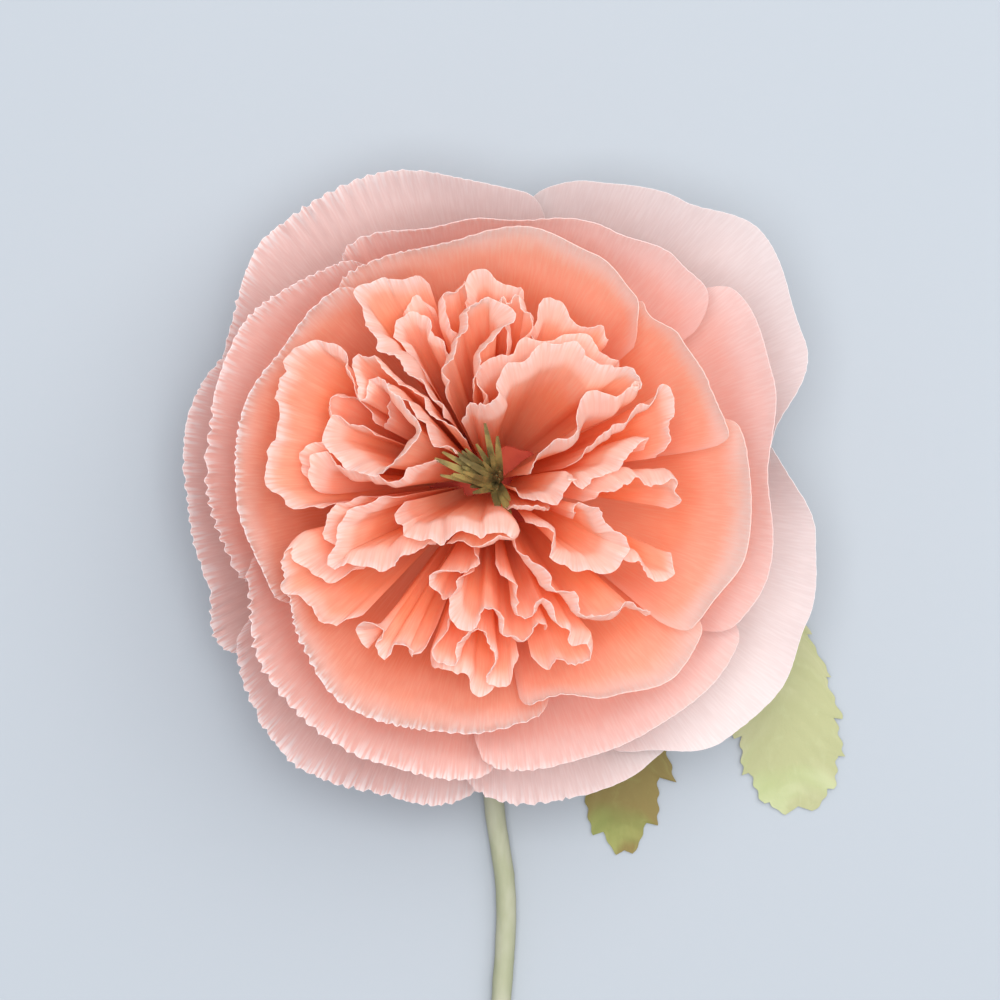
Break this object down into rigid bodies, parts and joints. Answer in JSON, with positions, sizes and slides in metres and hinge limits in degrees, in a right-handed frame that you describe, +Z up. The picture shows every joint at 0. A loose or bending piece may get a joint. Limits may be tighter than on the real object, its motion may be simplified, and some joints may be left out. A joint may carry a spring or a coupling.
{
  "type": "paper rose",
  "caption": "Crepe paper garden rose: folded petals inside broad cupped rows, on a wrapped wire stem that turns along the surface, with a leaf spray.",
  "frame": {"origin": "under the middle of the whole rose's box, in the surface that it lies on", "axes": "+Z up along the bloom's axis, +Y from the stem's cut end towards the bloom, +X to the side of the leaf spray"},
  "size_m": [0.139, 0.2546, 0.0663],
  "materials": {
    "folded_crepe": "matt crepe paper, coral deep in the folds and pale peach at the rims",
    "cup_crepe": "matt crepe paper, coral low down and pale peach at the rim",
    "outer_crepe": "matt crepe paper, pale blush pink",
    "ball_paper": "rolled crepe paper, coral",
    "olive_crepe": "fringed crepe paper, olive brown",
    "stem_crepe": "waxed paper wrapping, grey green",
    "leaf_crepe": "painted crepe paper, yellow green with brown in the middle",
    "wire_steel": "bare florist wire"
  },
  "bodies": {
    "root": {"left_petal_1": "folded_crepe", "left_petal_2": "folded_crepe", "left_petal_3": "folded_crepe", "left_petal_4": "folded_crepe", "left_petal_5": "folded_crepe", "left_petal_6": "folded_crepe", "top_petal_1": "folded_crepe", "top_petal_2": "folded_crepe", "top_petal_3": "folded_crepe", "top_petal_4": "folded_crepe", "top_petal_5": "folded_crepe", "top_petal_6": "folded_crepe", "top_petal_7": "folded_crepe", "upper_right_petal_1": "folded_crepe", "upper_right_petal_2": "folded_crepe", "upper_right_petal_3": "folded_crepe", "upper_right_petal_4": "folded_crepe", "right_petal_1": "folded_crepe", "right_petal_2": "folded_crepe", "right_petal_3": "folded_crepe", "right_petal_4": "folded_crepe", "right_petal_5": "folded_crepe", "right_petal_6": "folded_crepe", "bottom_petal_1": "folded_crepe", "bottom_petal_2": "folded_crepe", "bottom_petal_3": "folded_crepe", "bottom_petal_4": "folded_crepe", "bottom_petal_5": "folded_crepe", "bottom_petal_6": "folded_crepe", "lower_left_petal_1": "folded_crepe", "lower_left_petal_2": "folded_crepe", "lower_left_petal_3": "folded_crepe", "lower_left_petal_4": "folded_crepe", "cup_petal_1": "cup_crepe", "cup_petal_2": "cup_crepe", "cup_petal_3": "cup_crepe", "cup_petal_4": "cup_crepe", "cup_petal_5": "cup_crepe", "cup_petal_6": "cup_crepe", "middle_petal_1": "outer_crepe", "middle_petal_2": "outer_crepe", "middle_petal_3": "outer_crepe", "middle_petal_4": "outer_crepe", "middle_petal_5": "outer_crepe", "guard_petal_1": "outer_crepe", "guard_petal_2": "outer_crepe", "guard_petal_3": "outer_crepe", "guard_petal_4": "outer_crepe", "guard_petal_5": "outer_crepe", "guard_petal_6": "outer_crepe", "paper_ball": "ball_paper", "stem_wire": "wire_steel", "stem_wrap": "stem_crepe", "hip": "stem_crepe", "calyx": "stem_crepe", "stamen_tuft": "olive_crepe", "leaf_stalk": "stem_crepe", "leaf_near": "leaf_crepe", "leaf_far": "leaf_crepe", "binding_tape": "stem_crepe"}
  },
  "joints": []
}
